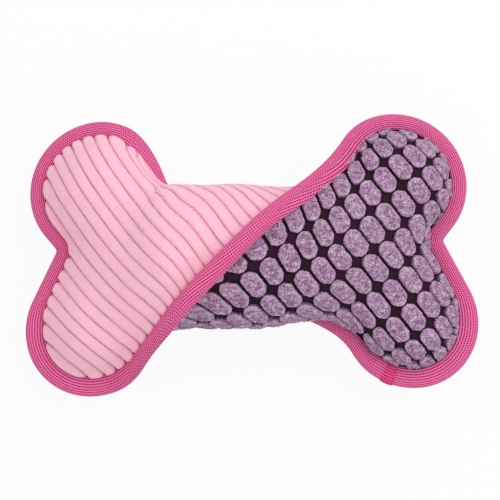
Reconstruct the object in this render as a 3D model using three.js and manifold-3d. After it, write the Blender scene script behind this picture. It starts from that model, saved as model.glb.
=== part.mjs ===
// A squeaky dog toy: a stuffed bone sewn from two fabric panels, bound edge to edge with folded tape,
// with a half-turn twist at its waist and an accordion squeaker inside the waist.
// Millimetres, +Z up, +X along the bone, lying on the floor with the corduroy up at the left end.
import * as THREE from 'three';
import { mergeVertices } from 'three/addons/utils/BufferGeometryUtils.js';
import Module from 'manifold-3d';

const wasm = await Module();
wasm.setup();

// Sewn outline of the bone, laid flat. The bone is drawn by quarters from its middle.
const lobeCentreX = 81.5;
const lobeCentreY = 36.4;
const lobeRadius = 27.8;
const waistHalfWidth = 32.5;
const overStraight = 15; // half of the straight waist of the seam that passes over the twist
const underStraight = 29; // and of the seam that passes under it
const notchSide = 8.4; // straight side from the nearer lobe to the rounded bottom of an end notch
const notchShift = 4.7; // how far the twist has drawn each notch off the long axis
const notchCrease = 2.5; // radius left at the tape's outer edge in the end notch
const lean = 0.06; // sideways lean of the two ends

// Stuffed depth, from one fabric's face to the other's.
const endDepth = 56;
const waistDepth = 75;
const waistFull = 48; // the waist keeps its full depth this far from the middle
const waistSwell = 84; // and has faded into the ends here
const endFullness = 1.15; // 1 is an ellipse, more is a softer edge
const waistFullness = 1;

// Twist of the waist.
const twistStart = -80;
const twistEnd = 70;
const twistTurn = 180; // degrees
const twistEaseIn = 0.15; // share of the twist's length in which it starts
const twistEaseOut = 0.25; // and in which it ends

// How it lies: the four lobes rest on the floor and the waist just clears it.
const restFlat = 0.5; // how deep each lobe is pressed flat
const waistFloorGap = 2.5;
const riseStart = 82; // from here towards the middle the axis climbs
const riseEnd = 36;

// Fabrics and seam.
const corduroyThickness = 1.9;
const blockThickness = 2.1;
const tapeThickness = 1.6;
const tapeFold = 1.9; // thickness of the tape's rounded fold
const seamAllowance = 6.3;
const fabricGap = 0.3;
const tapeEdgeGap = 0.4; // between the tape's edge and the fabric that rises beside it
const fillGap = 0.5;

// Cut-pile blocks on the ground of the block panel, in rows across the unrolled cloth.
const blockPitchShort = 10.9;
const blockPitchLong = 16.8;
const blockAngle = 49; // degrees that their long sides run down from the long axis
const blockOriginX = 77.9; // middle of one block
const blockOriginY = 45;
const blockGap = 1.3;
const blockCorner = 2.5; // how much of each corner is cut off
const pileHeight = 3.4;
const pileCrown = 0.9; // how far the middle of a block stands over its edge
const pileLean = 0.05; // share of the way to its middle by which a block's sides lean in
const pileCover = 0.7; // how thickly the pile covers the ground between the blocks
const pileRoot = 3; // how far it is rooted under the ground's face, before its roots are trimmed inside
const pileEdge = 6; // the blocks stop this high over the seam plane
const groundSink = 1.7; // how far the ground lies under the panel's mean face
const clothGirth = 35; // cloth taken up by a radian of twist
const foldedStretch = 1.5; // a block drawn out by more than this lies where the cloth is folded

// Squeaker bladder, standing upright in the waist.
const squeakerRadius = 20;
const squeakerHeight = 28;
const shellWall = 1.2;
const shellDepth = 4.5; // height of the base shell and of the crown
const shellRound = 2.5;
const bellowsFolds = 3;
const foldDepth = 3.2;
const pocketGap = 0.5;

// Whistle in the neck of the bladder.
const barrelRadius = 4.5;
const barrelBore = 3.4;
const barrelLength = 12;
const barrelFlangeRadius = 6.6;
const barrelFlange = 1.4;
const fitGap = 0.25;
const carrierLength = 10;
const grooveWidth = 1.4;
const grooveDepth = 1.3;
const clampLength = 3.2;
const carrierInset = 0.6; // from the barrel's outer end to the reed carrier
const reedWidth = 2.8;
const reedThickness = 0.3;
const reedFree = 6; // length of the reed beyond its clamp
const reedRoot = 1.6; // length of the reed inside its clamp
const reedGap = 0.3;

// Steps of the meshes.
const waistSteps = 6;
const forkSteps = 4;
const lobeSteps = 10;
const skinRings = 6;
const clothSteps = 8; // places found on the unrolled cloth for each step of the panel
const foldSteps = 6;
const roundSteps = 32;

const degrees = Math.PI / 180;
const corduroySide = { sign: 1, thickness: corduroyThickness, sunk: 0, back: corduroyThickness };
const blockBack = groundSink + blockThickness;
const blockSide = { sign: -1, thickness: blockThickness, sunk: groundSink, back: blockBack };
const channelDepth = seamAllowance + fabricGap;
const bindingReach = channelDepth + tapeFold;
const notchRadius = bindingReach + notchCrease;
const notchReach = Math.hypot(lobeRadius + notchRadius, notchSide); // from the nearer lobe's centre
const notchCentreX = lobeCentreX + Math.sqrt(notchReach ** 2 - (lobeCentreY - notchShift) ** 2);
const twistEven = 1 - (twistEaseIn + twistEaseOut) / 2; // length of an even twist at the same rate
const twistMiddle = twistStart + (twistEnd - twistStart) * (twistEven / 2 + twistEaseIn / 2);
const endAxisHeight = endDepth / 2 - restFlat;
const waistAxisHeight = waistHalfWidth + bindingReach + waistFloorGap;

const smooth = (share) => {
  const s = THREE.MathUtils.clamp(share, 0, 1);
  return s * s * (3 - 2 * s);
};

// Turn of the section at x: an even rate with an eased start and end.
function turnAt(x) {
  const s = THREE.MathUtils.clamp((x - twistStart) / (twistEnd - twistStart), 0, 1);
  const eased = (t, ease) => (t * t) / (2 * ease * twistEven);
  let share = (s - twistEaseIn / 2) / twistEven;
  if (s < twistEaseIn) share = eased(s, twistEaseIn);
  if (s > 1 - twistEaseOut) share = 1 - eased(1 - s, twistEaseOut);
  return share * twistTurn * degrees;
}

const axisHeightAt = (x) => {
  const climb = smooth((riseStart - Math.abs(x)) / (riseStart - riseEnd));
  return endAxisHeight + (waistAxisHeight - endAxisHeight) * climb;
};

// Carries a point of the flat bone, with its height above the seam plane, to the twisted bone.
function place(flat, height) {
  const x = flat.x + lean * flat.y;
  const turn = turnAt(x);
  const y = flat.y * Math.cos(turn) + height * Math.sin(turn);
  const z = height * Math.cos(turn) - flat.y * Math.sin(turn);
  return new THREE.Vector3(x, y, axisHeightAt(x) + z);
}

const waistShare = (x) => smooth((waistSwell - Math.abs(x)) / (waistSwell - waistFull));
const halfDepthAt = (x) => THREE.MathUtils.lerp(endDepth, waistDepth, waistShare(x)) / 2;
const fullnessAt = (x) => THREE.MathUtils.lerp(endFullness, waistFullness, waistShare(x));

// One quarter of the outline, from the middle of the waist to the end notch. Each station holds a seam
// point, the outward direction there, and the point of the bone's middle line that the fabric climbs to.
function quarterStations(straight, notchOffset) {
  const lobe = new THREE.Vector2(lobeCentreX, lobeCentreY);
  const fork = new THREE.Vector2(lobeCentreX - lobeCentreY / 2, 0);
  const waistRadius =
    ((lobeCentreX - straight) ** 2 + (waistHalfWidth - lobeCentreY) ** 2 - lobeRadius ** 2) /
    (2 * (lobeRadius - waistHalfWidth + lobeCentreY));
  const waistCentre = new THREE.Vector2(straight, waistHalfWidth + waistRadius);
  const toWaist = waistCentre.clone().sub(lobe).normalize();
  const waistSweep = Math.atan2(-toWaist.x, toWaist.y);
  const stations = [];

  const flankSteps = waistSteps + forkSteps;
  const flankLength = straight + waistRadius * waistSweep;
  for (let i = 0; i < flankSteps; i += 1) {
    const along = (flankLength * i) / flankSteps;
    const angle = Math.max(0, along - straight) / waistRadius;
    const normal = new THREE.Vector2(-Math.sin(angle), Math.cos(angle));
    const seam = waistCentre.clone().addScaledVector(normal, -waistRadius);
    if (along < straight) seam.x = along;
    const spine = new THREE.Vector2();
    if (i <= waistSteps) spine.lerpVectors(spine, fork, i / waistSteps);
    else spine.lerpVectors(fork, lobe, (i - waistSteps) / forkSteps);
    stations.push({ seam, normal, spine });
  }

  const notchCentre = new THREE.Vector2(notchCentreX, notchOffset);
  const toNotch = notchCentre.clone().sub(lobe);
  const lobeStart = Math.atan2(toWaist.y, toWaist.x);
  const sideAngle = Math.acos((lobeRadius + notchRadius) / toNotch.length());
  const lobeEnd = Math.atan2(toNotch.y, toNotch.x) + sideAngle;
  for (let i = 0; i <= lobeSteps; i += 1) {
    const angle = THREE.MathUtils.lerp(lobeStart, lobeEnd, i / lobeSteps);
    const normal = new THREE.Vector2(Math.cos(angle), Math.sin(angle));
    stations.push({ seam: lobe.clone().addScaledVector(normal, lobeRadius), normal, spine: lobe });
  }

  // The notch: a straight side, then half of the rounded bottom.
  const side = new THREE.Vector2(Math.cos(lobeEnd), Math.sin(lobeEnd));
  const sideStart = lobe.clone().addScaledVector(side, lobeRadius);
  const sideEnd = notchCentre.clone().addScaledVector(side, -notchRadius);
  const sideSteps = forkSteps / 2;
  for (let i = 1; i <= forkSteps; i += 1) {
    const spine = lobe.clone().lerp(fork, i / forkSteps);
    if (i === forkSteps) spine.copy(fork);
    const angle = lobeEnd * (1 - Math.max(0, i - sideSteps) / (forkSteps - sideSteps));
    const normal = new THREE.Vector2(Math.cos(angle), Math.sin(angle));
    const seam = new THREE.Vector2();
    if (i <= sideSteps) seam.lerpVectors(sideStart, sideEnd, i / sideSteps);
    else seam.copy(notchCentre).addScaledVector(normal, -notchRadius);
    stations.push({ seam, normal, spine });
  }
  return stations;
}

const mirrored = (stations, x, y) => {
  const scale = new THREE.Vector2(x, y);
  return stations.map(({ seam, normal, spine }) => ({
    seam: seam.clone().multiply(scale),
    normal: normal.clone().multiply(scale),
    spine: spine.clone().multiply(scale),
  }));
};

// The whole outline, once round: each end has a lobe on either seam and a notch between them.
function outlineStations() {
  const back = (stations) => stations.slice(1, -1).reverse();
  return [
    ...quarterStations(underStraight, -notchShift),
    ...mirrored(back(quarterStations(overStraight, notchShift)), 1, -1),
    ...mirrored(quarterStations(overStraight, -notchShift), -1, -1),
    ...mirrored(back(quarterStations(underStraight, notchShift)), -1, 1),
  ];
}

const stations = outlineStations();

// Drops the faces that closed up where points were merged.
function withoutSlivers(geometry) {
  const faces = geometry.getIndex().array;
  const kept = [];
  for (let i = 0; i < faces.length; i += 3) {
    const [a, b, c] = faces.slice(i, i + 3);
    if (a !== b && b !== c && c !== a) kept.push(a, b, c);
  }
  geometry.setIndex(kept);
  return geometry;
}

// Joins one profile for each station into a surface. An open profile starts and ends on the middle line.
// Every layer on one side of the seam plane splits its quads along the same diagonal, so that layers that
// lie on each other keep their gap in the twist.
function loftRound(profiles, closed) {
  const size = profiles[0].length;
  const spans = closed ? size : size - 1;
  const faces = [];
  profiles.forEach((profile, i) => {
    const here = i * size;
    const next = ((i + 1) % profiles.length) * size;
    for (let j = 0; j < spans; j += 1) {
      const k = (j + 1) % size;
      const outward = profile[k].out > profile[j].out;
      if (outward === profile[j].height > 0) {
        faces.push(here + j, next + j, here + k, here + k, next + j, next + k);
      } else {
        faces.push(here + j, next + k, here + k, here + j, next + j, next + k);
      }
    }
  });
  const points = new THREE.BufferGeometry().setFromPoints(profiles.flat().map(({ at }) => at));
  points.setIndex(faces);
  return withoutSlivers(mergeVertices(points, 1e-4));
}

// Section of a panel's mean face at a station, on a ring that runs from the seam (0) to the middle line.
function skinSection(station, panel, ring) {
  const angle = ((ring / skinRings) * Math.PI) / 2;
  const reach = station.seam.distanceTo(station.spine);
  const seat = fabricGap / 2 + panel.thickness;
  const rise = halfDepthAt(station.spine.x) - seat;
  const fullness = fullnessAt(station.spine.x);
  const inward = reach * (1 - Math.cos(angle));
  const height = seat + rise * Math.sin(angle) ** fullness;
  const slope = new THREE.Vector2(1, 0);
  if (ring > 0) {
    slope.x = rise * fullness * Math.sin(angle) ** (fullness - 1) * Math.cos(angle);
    slope.y = -reach * Math.sin(angle);
    slope.normalize();
  }
  return { reach, inward, height, slope };
}

// A point of a panel, inset from its mean face. Where the toy sits deeper than its lobes the floor holds
// every layer up, so that none is worn thin.
function skinPoint(station, panel, inset, ring) {
  const { reach, inward, height, slope } = skinSection(station, panel, ring);
  const flat = station.spine.clone();
  if (ring < skinRings) flat.lerpVectors(station.seam, station.spine, (inward + inset * slope.x) / reach);
  const layer = panel.sign * (height + inset * slope.y);
  const at = place(flat, layer);
  at.z = Math.max(at.z, inset - restFlat);
  return { at, out: -ring, height: layer };
}

// A point of the seam's layers, so far out from the seam line, or inwards from it if negative.
function seamPoint(station, out, height) {
  const flat = station.seam.clone();
  if (out > 0) flat.addScaledVector(station.normal, out);
  else flat.lerp(station.spine, -out / station.seam.distanceTo(station.spine));
  return { at: place(flat, height), out, height };
}

const ringsUp = Array.from({ length: skinRings + 1 }, (_, ring) => ring);
const ringsDown = [...ringsUp].reverse();

// A fabric panel with its seam allowance, one closed sheet.
function panelGeometry(panel) {
  const inner = (panel.sign * fabricGap) / 2;
  const outer = inner + panel.sign * panel.thickness;
  const profiles = stations.map((station) => [
    ...ringsDown.map((ring) => skinPoint(station, panel, panel.sunk, ring)),
    seamPoint(station, 0, outer),
    seamPoint(station, seamAllowance, outer),
    seamPoint(station, seamAllowance, inner),
    seamPoint(station, -panel.thickness, inner),
    seamPoint(station, -panel.back, inner),
    ...ringsUp.map((ring) => skinPoint(station, panel, panel.back, ring)),
  ]);
  if (panel.sign < 0) profiles.forEach((profile) => profile.reverse());
  return loftRound(profiles, false);
}

// Places on the facets of the block panel's ground, each with its place on the unrolled cloth.
function groundPlaces() {
  const groundAt = (line, ring) => skinPoint(line, blockSide, groundSink, ring).at;
  const facets = stations.map((station) => ringsUp.map((ring) => groundAt(station, ring)));
  const onFacets = (i, share, ring) => {
    const [here, next] = [facets[i], facets[(i + 1) % facets.length]];
    const below = Math.min(Math.floor(ring), skinRings - 1);
    const sides = [here, next].map((side) => side[below].clone().lerp(side[below + 1], ring - below));
    return sides[0].lerp(sides[1], share);
  };
  return stations.flatMap((station, i) => {
    const next = stations[(i + 1) % stations.length];
    const places = [];
    for (let share = 0; share < 1; share += 1 / clothSteps) {
      const seam = station.seam.clone().lerp(next.seam, share);
      const spine = station.spine.clone().lerp(next.spine, share);
      const outward = seam.clone().sub(spine).normalize();
      const line = { seam, spine };
      let section = skinSection(line, blockSide, skinRings);
      let along = 0;
      for (let ring = skinRings; section.height > pileEdge; ring -= 1 / clothSteps) {
        const last = section;
        section = skinSection(line, blockSide, ring);
        along += Math.hypot(section.inward - last.inward, section.height - last.height);
        const face = skinPoint(line, blockSide, 0, ring).at;
        const flat = spine.clone().addScaledVector(outward, along);
        const wound = clothGirth * (turnAt(face.x) - twistTurn * degrees);
        const cloth = new THREE.Vector2(flat.x + lean * flat.y, wound - flat.y);
        const up = face.sub(groundAt(line, ring)).normalize();
        places.push({ cloth, ground: onFacets(i, share, ring), up });
      }
    }
    return places;
  });
}

// The unrolled cloth in rows of blocks: each block has a share of the cloth, with a rim of six places given
// in half pitches from its middle, and a neighbour beyond each side of the rim.
const blockWays = [
  new THREE.Vector2(Math.sin(blockAngle * degrees), Math.cos(blockAngle * degrees)),
  new THREE.Vector2(Math.cos(blockAngle * degrees), -Math.sin(blockAngle * degrees)),
];
const blockPitches = [blockPitchShort, blockPitchLong];
const blockOrigin = new THREE.Vector2(blockOriginX, blockOriginY);
const rimPlaces = [[-1, -1], [-1, 0], [-1, 1], [1, 1], [1, 0], [1, -1]];
const rimNeighbours = [[-1, 0], [-1, 0], [0, 1], [1, 0], [1, 0], [0, -1]];
const blockKey = (column, row) => `${column} ${row}`;

const onCloth = (short, long) =>
  blockOrigin.clone().addScaledVector(blockWays[0], short).addScaledVector(blockWays[1], long);

// Edge of a block's pile, from its middle, and the point of it where each side of the rim begins.
const pileSides = [0, 1, 3, 5, 6, 8];
function pileOutline() {
  const short = (blockPitchShort - blockGap) / 2;
  const long = (blockPitchLong - blockGap) / 2;
  const half = [
    [-short, blockCorner - long],
    [-short, 0],
    [-short, long - blockCorner],
    [blockCorner - short, long],
    [short - blockCorner, long],
  ];
  return [...half, ...half.map(([x, y]) => [-x, -y])];
}

// The blocks that fit on the cloth. One that runs past the cloth's edge is cut off there, and none is made
// where the cloth is folded on itself.
function pileBlocks() {
  const places = groundPlaces();
  const nearest = (short, long) => {
    const wanted = onCloth(short, long);
    const found = { gap: Infinity };
    for (const spot of places) {
      const gap = spot.cloth.distanceToSquared(wanted);
      if (gap < found.gap) Object.assign(found, { spot, gap });
    }
    return { ...found.spot, gap: Math.sqrt(found.gap) };
  };
  const [columns, rows] = blockWays.map((way, i) => {
    const steps = places.map(({ cloth }) => cloth.clone().sub(blockOrigin).dot(way) / blockPitches[i]);
    const first = Math.floor(steps.reduce((a, b) => Math.min(a, b)));
    const last = Math.ceil(steps.reduce((a, b) => Math.max(a, b)));
    return Array.from({ length: last - first + 1 }, (_, k) => first + k);
  });

  const blocks = new Map();
  for (const column of columns) {
    for (const row of rows) {
      const [x, y] = [column * blockPitchShort, row * blockPitchLong];
      const middle = nearest(x, y);
      if (middle.gap > blockGap) continue;
      const rim = rimPlaces.map(([a, b]) => {
        const [halfShort, halfLong] = [column + a / 2, row + b / 2];
        return nearest(halfShort * blockPitchShort, halfLong * blockPitchLong);
      });
      const folded = rim.some(({ ground, cloth }, i) => {
        const next = rim[(i + 1) % rim.length];
        return ground.distanceTo(next.ground) > foldedStretch * cloth.distanceTo(next.cloth) + blockGap;
      });
      if (folded) continue;
      const edge = pileOutline().map(([a, b]) => nearest(x + a, y + b));
      blocks.set(blockKey(column, row), { column, row, middle, rim, edge });
    }
  }
  return blocks;
}

// All the blocks as one closed sheet that covers the ground, with roots in it and a wall round its outside.
function pileGeometry() {
  const blocks = pileBlocks();
  const corners = [];
  const face = (first, ...others) => {
    for (let i = 1; i < others.length; i += 1) corners.push(first, others[i - 1], others[i]);
  };
  const raised = ({ ground, up }, height) => ground.clone().addScaledVector(up, height);
  for (const { column, row, middle, rim, edge } of blocks.values()) {
    const cover = rim.map((spot) => raised(spot, pileCover));
    const root = rim.map((spot) => raised(spot, -pileRoot));
    const crown = raised(middle, pileHeight);
    const pile = edge.map((spot) => raised(spot, pileHeight - pileCrown).lerp(crown, pileLean));
    const foot = raised(middle, -pileRoot);
    rim.forEach((_, i) => {
      const j = (i + 1) % rim.length;
      const side = pileSides[i];
      const lastEnd = pileSides[(i + rim.length - 1) % rim.length] + 1;
      face(cover[i], cover[j], pile[side + 1], pile[side]);
      if (lastEnd !== side) face(cover[i], pile[side], pile[lastEnd]);
      face(root[j], root[i], foot);
      const [across, along] = rimNeighbours[i];
      if (!blocks.has(blockKey(column + across, row + along))) face(root[i], root[j], cover[j], cover[i]);
    });
    pile.forEach((point, i) => face(point, pile[(i + 1) % pile.length], crown));
  }
  const geometry = new THREE.BufferGeometry().setFromPoints(corners);
  geometry.setIndex(corners.map((_, i) => i));
  return geometry;
}

// The binding tape: a channel that holds both seam allowances, rounded over at its fold.
function tapeGeometry() {
  const legs = [corduroySide, blockSide].map((panel) => {
    const inner = fabricGap / 2 + panel.thickness + fabricGap;
    const size = inner + tapeThickness;
    return { inner: panel.sign * inner, outer: panel.sign * size, size };
  });
  const [upper, lower] = legs;
  const round = bindingReach / 2;
  const fold = Array.from({ length: foldSteps + 1 }, (_, i) => {
    const angle = Math.PI / 2 - (Math.PI * i) / foldSteps;
    const size = angle > 0 ? upper.size : lower.size;
    return [bindingReach - round + round * Math.cos(angle), size * Math.sin(angle)];
  });
  const section = [
    [tapeEdgeGap, upper.inner],
    [tapeEdgeGap, upper.outer],
    ...fold,
    [tapeEdgeGap, lower.outer],
    [tapeEdgeGap, lower.inner],
    [channelDepth, lower.inner],
    [channelDepth, upper.inner],
  ];
  const sectionAt = (station) => section.map(([out, height]) => seamPoint(station, out, height));
  const profiles = stations.map(sectionAt);
  return loftRound(profiles, true);
}

// The room that the two panels enclose, or with a gap the whole stuffing in it.
function roomGeometry(gap) {
  const profiles = stations.map((station) => [
    ...ringsDown.map((ring) => skinPoint(station, corduroySide, corduroySide.back + gap, ring)),
    seamPoint(station, -blockSide.back - gap, gap),
    ...ringsUp.map((ring) => skinPoint(station, blockSide, blockSide.back + gap, ring)),
  ]);
  return loftRound(profiles, false);
}

// Booleans.
function solidOf(geometry) {
  const bare = new THREE.BufferGeometry();
  bare.setAttribute('position', geometry.getAttribute('position'));
  bare.setIndex(geometry.getIndex());
  const joined = withoutSlivers(mergeVertices(bare, 1e-4));
  const mesh = new wasm.Mesh({
    numProp: 3,
    vertProperties: new Float32Array(joined.getAttribute('position').array),
    triVerts: new Uint32Array(joined.getIndex().array),
  });
  return new wasm.Manifold(mesh);
}

function geometryOf(solid) {
  const mesh = solid.getMesh();
  const geometry = new THREE.BufferGeometry();
  geometry.setAttribute('position', new THREE.BufferAttribute(mesh.vertProperties, 3));
  geometry.setIndex(new THREE.BufferAttribute(mesh.triVerts, 1));
  return geometry;
}

// A block that is far larger than the toy, with one face at the given place along an axis.
function halfSpace(axis, face, direction) {
  const size = 4 * (lobeCentreX + lobeRadius + bindingReach);
  const block = new THREE.BoxGeometry(size, size, size);
  const shift = new THREE.Vector3();
  shift[axis] = face + (direction * size) / 2;
  return solidOf(block.translate(shift.x, shift.y, shift.z));
}

const pressedFlat = (geometry) => geometryOf(solidOf(geometry).subtract(halfSpace('z', 0, -1)));

// The block panel: its ground with the pile on it.
function blockPanelGeometry() {
  const pile = solidOf(pileGeometry()).subtract(solidOf(roomGeometry(0)));
  return geometryOf(solidOf(panelGeometry(blockSide)).add(pile));
}

// Squeaker, built upright on its own axis and then moved to the middle of the twist.
const squeakerBottom = waistAxisHeight - squeakerHeight / 2;
const squeakerTop = waistAxisHeight + squeakerHeight / 2;
const barrelBottom = squeakerBottom - fitGap - barrelFlange;

const inWaist = (geometry) => geometry.translate(twistMiddle, 0, 0);

function revolved(profile) {
  const points = profile.map(([radius, height]) => new THREE.Vector2(radius, height));
  const lathe = new THREE.LatheGeometry(points, roundSteps).rotateX(Math.PI / 2);
  return geometryOf(solidOf(inWaist(lathe)));
}

function squeakerBaseGeometry() {
  const neck = barrelRadius + fitGap;
  const inner = squeakerRadius - shellWall;
  return revolved([
    [neck, squeakerBottom],
    [squeakerRadius - shellRound, squeakerBottom],
    [squeakerRadius, squeakerBottom + shellRound],
    [squeakerRadius, squeakerBottom + shellDepth],
    [inner, squeakerBottom + shellDepth],
    [inner, squeakerBottom + shellRound + shellWall / 2],
    [squeakerRadius - shellRound - shellWall / 2, squeakerBottom + shellWall],
    [neck, squeakerBottom + shellWall],
    [neck, squeakerBottom],
  ]);
}

function squeakerCrownGeometry() {
  const inner = squeakerRadius - shellWall;
  return revolved([
    [0, squeakerTop - shellWall],
    [squeakerRadius - shellRound - shellWall / 2, squeakerTop - shellWall],
    [inner, squeakerTop - shellRound - shellWall / 2],
    [inner, squeakerTop - shellDepth],
    [squeakerRadius, squeakerTop - shellDepth],
    [squeakerRadius, squeakerTop - shellRound],
    [squeakerRadius - shellRound, squeakerTop],
    [0, squeakerTop],
  ]);
}

function bellowsGeometry() {
  const bottom = squeakerBottom + shellDepth + fitGap;
  const top = squeakerTop - shellDepth - fitGap;
  const outer = Array.from({ length: 2 * bellowsFolds + 1 }, (_, i) => {
    const radius = i % 2 === 0 ? squeakerRadius : squeakerRadius - foldDepth;
    return [radius, THREE.MathUtils.lerp(bottom, top, i / (2 * bellowsFolds))];
  });
  const inner = outer.map(([radius, height]) => [radius - shellWall, height]).reverse();
  return revolved([...outer, ...inner, outer[0]]);
}

function barrelGeometry() {
  return revolved([
    [barrelBore, barrelBottom],
    [barrelFlangeRadius, barrelBottom],
    [barrelFlangeRadius, barrelBottom + barrelFlange],
    [barrelRadius, barrelBottom + barrelFlange],
    [barrelRadius, barrelBottom + barrelLength],
    [barrelBore, barrelBottom + barrelLength],
    [barrelBore, barrelBottom],
  ]);
}

// Half-round rods in the barrel's bore, with the reed between them.
const coreRadius = barrelBore - fitGap;
const coreFlat = reedThickness / 2 + reedGap;
const coreBottom = barrelBottom + carrierInset;

function halfRound(side, groove) {
  const start = Math.asin(coreFlat / coreRadius);
  const shape = new THREE.Shape();
  shape.absarc(0, 0, coreRadius, start, Math.PI - start, false);
  if (groove) {
    shape.lineTo(-grooveWidth / 2, coreFlat);
    shape.lineTo(-grooveWidth / 2, coreFlat + grooveDepth);
    shape.lineTo(grooveWidth / 2, coreFlat + grooveDepth);
    shape.lineTo(grooveWidth / 2, coreFlat);
  }
  const length = groove ? carrierLength : clampLength;
  const rod = new THREE.ExtrudeGeometry(shape, { depth: length, bevelEnabled: false, curveSegments: 10 });
  if (side < 0) rod.rotateZ(Math.PI);
  return geometryOf(solidOf(inWaist(rod.translate(0, 0, coreBottom))));
}

function reedGeometry() {
  const length = reedRoot + reedFree;
  const reed = new THREE.BoxGeometry(reedWidth, reedThickness, length);
  const bottom = coreBottom + clampLength - reedRoot;
  return geometryOf(solidOf(inWaist(reed.translate(0, 0, bottom + length / 2))));
}

// Two fibre wads that meet across the squeaker, each with half of its pocket.
function fillHalf(direction) {
  const bottom = barrelBottom - pocketGap;
  const top = squeakerTop + pocketGap;
  const room = new THREE.CylinderGeometry(
    squeakerRadius + pocketGap,
    squeakerRadius + pocketGap,
    top - bottom,
    roundSteps,
  );
  const pocket = inWaist(room.rotateX(Math.PI / 2).translate(0, 0, (top + bottom) / 2));
  const half = halfSpace('x', twistMiddle + (direction * fillGap) / 2, direction);
  return geometryOf(solidOf(roomGeometry(fillGap)).intersect(half).subtract(solidOf(pocket)));
}

const cloth = (color, roughness) => new THREE.MeshStandardMaterial({ color, roughness, metalness: 0 });

const part = new THREE.Group();
part.name = 'twisted_bone_toy';

function add(name, geometry, material) {
  const mesh = new THREE.Mesh(geometry, material);
  mesh.name = name;
  part.add(mesh);
}

add('corduroy_panel', pressedFlat(panelGeometry(corduroySide)), cloth(0xf4bccd, 0.95));
add('block_panel', pressedFlat(blockPanelGeometry()), cloth(0xa0809d, 0.97));
add('binding_tape', tapeGeometry(), cloth(0xd4588f, 0.8));
add('left_fill', fillHalf(-1), cloth(0xf1eee6, 1));
add('right_fill', fillHalf(1), cloth(0xf1eee6, 1));
add('squeaker_base', squeakerBaseGeometry(), cloth(0xe9ece9, 0.45));
add('squeaker_bellows', bellowsGeometry(), cloth(0xeef0ee, 0.45));
add('squeaker_crown', squeakerCrownGeometry(), cloth(0xe9ece9, 0.45));
add('whistle_barrel', barrelGeometry(), cloth(0xdfe3e6, 0.4));
add('reed_carrier', halfRound(-1, true), cloth(0xcfd4d8, 0.4));
add('reed_clamp', halfRound(1, false), cloth(0xcfd4d8, 0.4));
add('reed', reedGeometry(), cloth(0xb9c4cc, 0.3));

export default part;
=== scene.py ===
# Twisted plush bone: corduroy and pile-block covers, a bound seam, fibre fill and a squeaker.
import math

import bpy
import numpy as np
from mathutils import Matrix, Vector, kdtree, noise


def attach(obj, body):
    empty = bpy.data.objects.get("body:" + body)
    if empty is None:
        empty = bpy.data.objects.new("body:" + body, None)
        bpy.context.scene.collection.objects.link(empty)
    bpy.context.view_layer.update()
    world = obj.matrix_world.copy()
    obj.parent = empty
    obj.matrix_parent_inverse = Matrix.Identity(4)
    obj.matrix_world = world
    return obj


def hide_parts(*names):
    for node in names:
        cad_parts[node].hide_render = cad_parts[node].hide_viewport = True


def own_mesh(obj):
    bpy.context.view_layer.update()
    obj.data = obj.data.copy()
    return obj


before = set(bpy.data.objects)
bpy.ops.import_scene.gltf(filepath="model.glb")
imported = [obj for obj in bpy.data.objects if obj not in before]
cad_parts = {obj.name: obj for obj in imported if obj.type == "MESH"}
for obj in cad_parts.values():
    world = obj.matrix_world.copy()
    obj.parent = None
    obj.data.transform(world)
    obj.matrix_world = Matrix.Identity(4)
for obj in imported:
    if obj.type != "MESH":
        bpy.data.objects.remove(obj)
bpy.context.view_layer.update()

scene = bpy.context.scene
mm = 0.001

# Form of the bone, shared by every soft piece: the flat outline, its depth, its twist and how it lies.
bone = {
    "lobeCentre": (81.5 * mm, 36.4 * mm),
    "lobeRadius": 27.8 * mm,
    "waistHalfWidth": 32.5 * mm,
    "overStraight": 15 * mm,  # half of the straight waist, on the seam over the twist
    "underStraight": 29 * mm,  # and on the seam under it
    "notchSide": 8.4 * mm,  # straight side from the nearer lobe to the rounded bottom of an end notch
    "notchShift": 4.7 * mm,
    "notchCrease": 2.5 * mm,
    "lean": 0.06,
    "endDepth": 56 * mm,
    "waistDepth": 75 * mm,
    "waistFull": 53 * mm,
    "waistSwell": 84 * mm,
    "endFullness": 1.15,
    "waistFullness": 1.0,
    "twist": (-80 * mm, 70 * mm),
    "twistEase": (0.15, 0.25),
    "restFlat": 0.5 * mm,
    "waistFloorGap": 2.5 * mm,
    "rise": (82 * mm, 36 * mm),
    "seat": 2.1 * mm,  # height of each cover where it goes into the seam
    "tapeReach": 8.5 * mm,
    "lobeStart": (46 * mm, 12 * mm),  # length and width from which the seam is inset
    "lobeFade": (20 * mm, 14 * mm),
    "lowInset": 2.6 * mm,  # of the seam on the outer sides of two lobes
    "lowWay": (0.45, 0.9),
    "neckInset": 1.6 * mm,  # and at the upper left neck
    "neckReach": 1.4 * mm,  # how much further out the tape goes there
    "neckWay": (0.9, 0.44),
    # stretches of the seam over the waist: where each starts, is full, fades and ends
    "leant": (-72 * mm, -30 * mm, 12 * mm, 48 * mm),  # towards the corduroy, with the tape and both edges
    "opened": (-95 * mm, -42 * mm, 4 * mm, 40 * mm),  # the tape lies open and wider
    "low": (-2 * mm, 30 * mm, 48 * mm, 72 * mm),  # the block cover starts low, with the tape wide on it
    "seamLean": 30,  # degrees
    "seamPivot": 4 * mm,
    "neckFullness": 0.8,  # how much lower the block cover starts at the neck
    "tucks": (5.2 * mm, 3.2 * mm, 1.2 * mm),  # rings of a cover's edge inside the tape
    "offEnd": (-70 * mm, 12 * mm),  # where the seam leaves the left end, and over what length
    "clothGirth": 35 * mm,  # cloth taken up by a radian of twist
    "stationLength": 9 * mm,  # one share of a quarter's flank, which has ten
    "forkShare": 0.6,  # of the flank, for which the cover climbs to the middle line's fork
}
lobe = np.array(bone["lobeCentre"])
fork = np.array([lobe[0] - lobe[1] / 2, 0.0])
endAxis = bone["endDepth"] / 2 - bone["restFlat"]
waistAxis = bone["waistHalfWidth"] + bone["tapeReach"] + bone["waistFloorGap"]
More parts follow.
